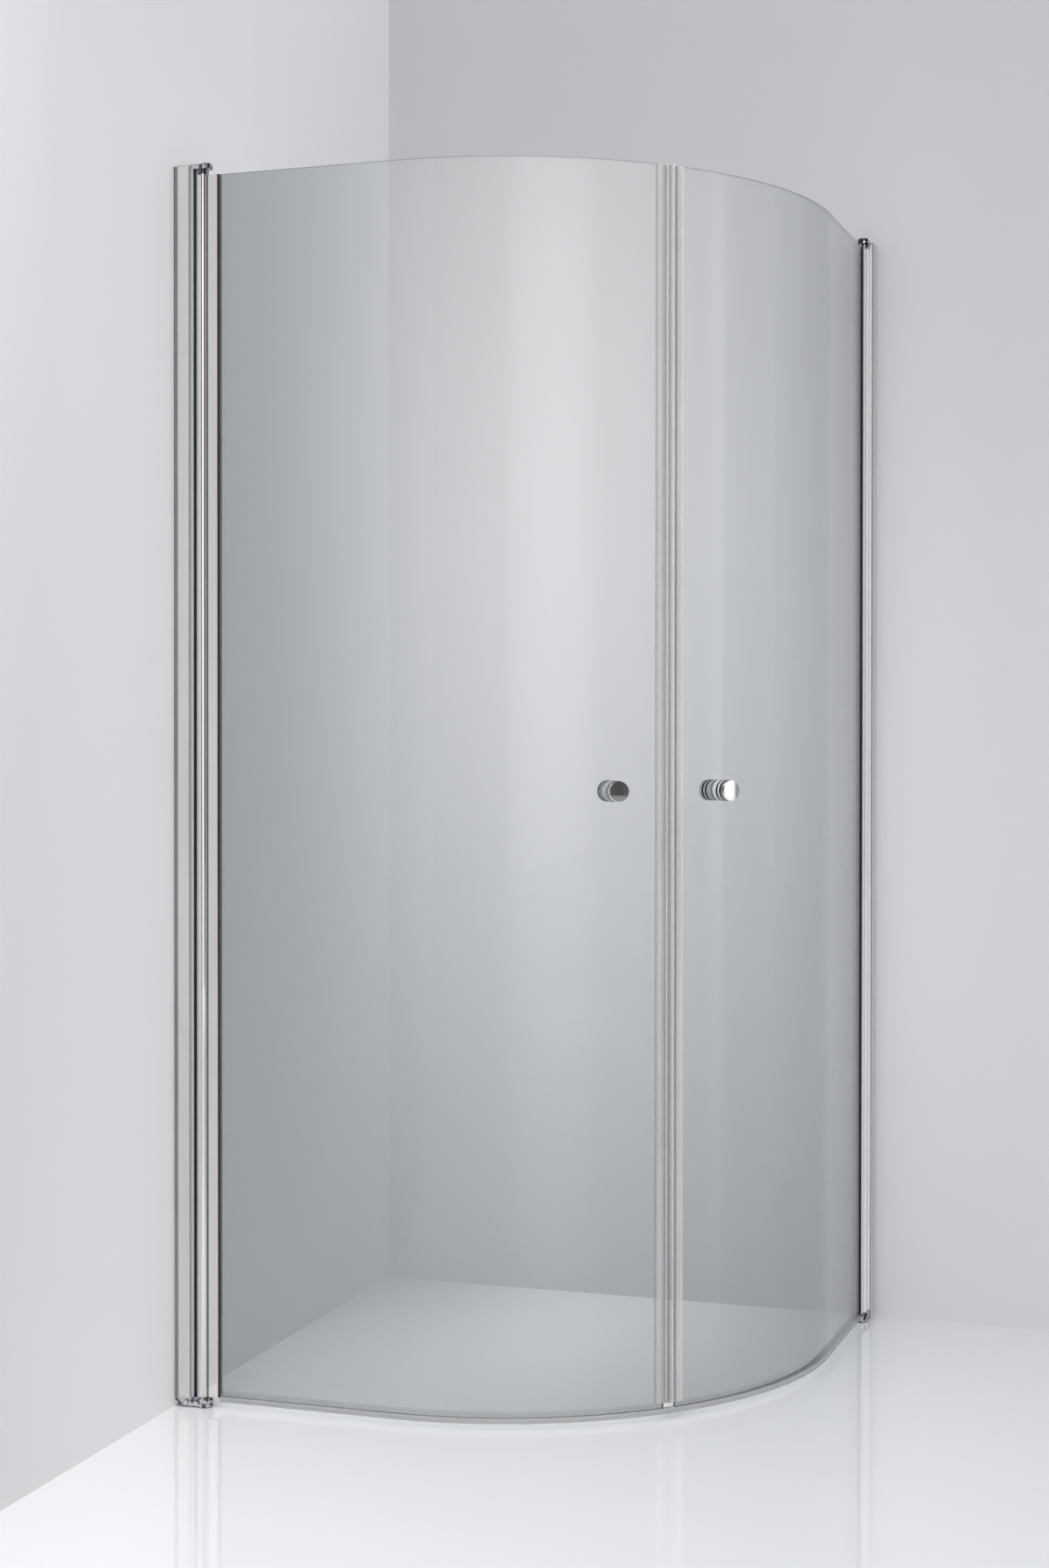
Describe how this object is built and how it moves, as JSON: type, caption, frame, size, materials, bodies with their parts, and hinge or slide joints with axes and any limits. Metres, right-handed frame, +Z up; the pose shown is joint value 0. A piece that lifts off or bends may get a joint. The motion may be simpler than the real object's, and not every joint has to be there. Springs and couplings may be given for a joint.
{
  "type": "quadrant shower enclosure",
  "caption": "Corner quadrant shower enclosure: curved glass pivot doors on tube hinges between wall channels, with magnet seals at the seam, drip seals and double-sided knobs.",
  "frame": {"origin": "on the floor, in the middle of the square that the enclosure fills", "axes": "+Z up; the two walls are at -X and +Y, so the curved doors face -Y and +X; the seam of the doors lies on the diagonal x = -y"},
  "size_m": [0.912, 0.912, 1.9],
  "materials": {
    "channel_aluminium": "bright anodised",
    "profile_chrome": "polished",
    "cast_chrome": "polished",
    "knob_chrome": "polished",
    "cap_plastic": "silver moulded",
    "black_rubber": "matt",
    "screw_steel": "zinc plated",
    "pin_steel": "turned",
    "nylon": "moulded",
    "safety_glass": "clear, toughened",
    "clear_seal": "translucent",
    "magnet": "magnet strip"
  },
  "bodies": {
    "wall_frame": {"left_wall_channel": "channel_aluminium", "left_hinge_post": "profile_chrome", "left_post_cap": "cap_plastic", "left_post_seal": "black_rubber", "left_adjusting_screws": "screw_steel", "left_top_arm": "cast_chrome", "left_top_pin": "pin_steel", "left_bottom_foot": "cast_chrome", "left_bottom_pin": "pin_steel", "right_wall_channel": "channel_aluminium", "right_hinge_post": "profile_chrome", "right_post_cap": "cap_plastic", "right_post_seal": "black_rubber", "right_adjusting_screws": "screw_steel", "right_top_arm": "cast_chrome", "right_top_pin": "pin_steel", "right_bottom_foot": "cast_chrome", "right_bottom_pin": "pin_steel"},
    "left_door": {"left_hinge_tube": "profile_chrome", "left_top_collar": "cast_chrome", "left_top_bush": "nylon", "left_bottom_bush": "nylon", "left_glazing_gasket": "black_rubber", "left_door_glass": "safety_glass", "left_magnet_seal": "clear_seal", "left_magnet_strip": "magnet", "left_drip_seal": "clear_seal", "left_outer_knob": "knob_chrome", "left_inner_knob": "knob_chrome", "left_knob_stud": "pin_steel", "left_knob_sleeve": "nylon"},
    "right_door": {"right_hinge_tube": "profile_chrome", "right_top_collar": "cast_chrome", "right_top_bush": "nylon", "right_bottom_bush": "nylon", "right_glazing_gasket": "black_rubber", "right_door_glass": "safety_glass", "right_magnet_seal": "clear_seal", "right_magnet_strip": "magnet", "right_drip_seal": "clear_seal", "right_outer_knob": "knob_chrome", "right_inner_knob": "knob_chrome", "right_knob_stud": "pin_steel", "right_knob_sleeve": "nylon"}
  },
  "joints": [
    {"name": "left_door_hinge", "type": "hinge", "parent": "wall_frame", "child": "left_door", "pos_m": [-0.414, -0.441, 0.95], "axis": [0, 0, -1], "range_deg": [0, 90]},
    {"name": "right_door_hinge", "type": "hinge", "parent": "wall_frame", "child": "right_door", "pos_m": [0.441, 0.414, 0.95], "axis": [0, 0, 1], "range_deg": [0, 90]}
  ]
}
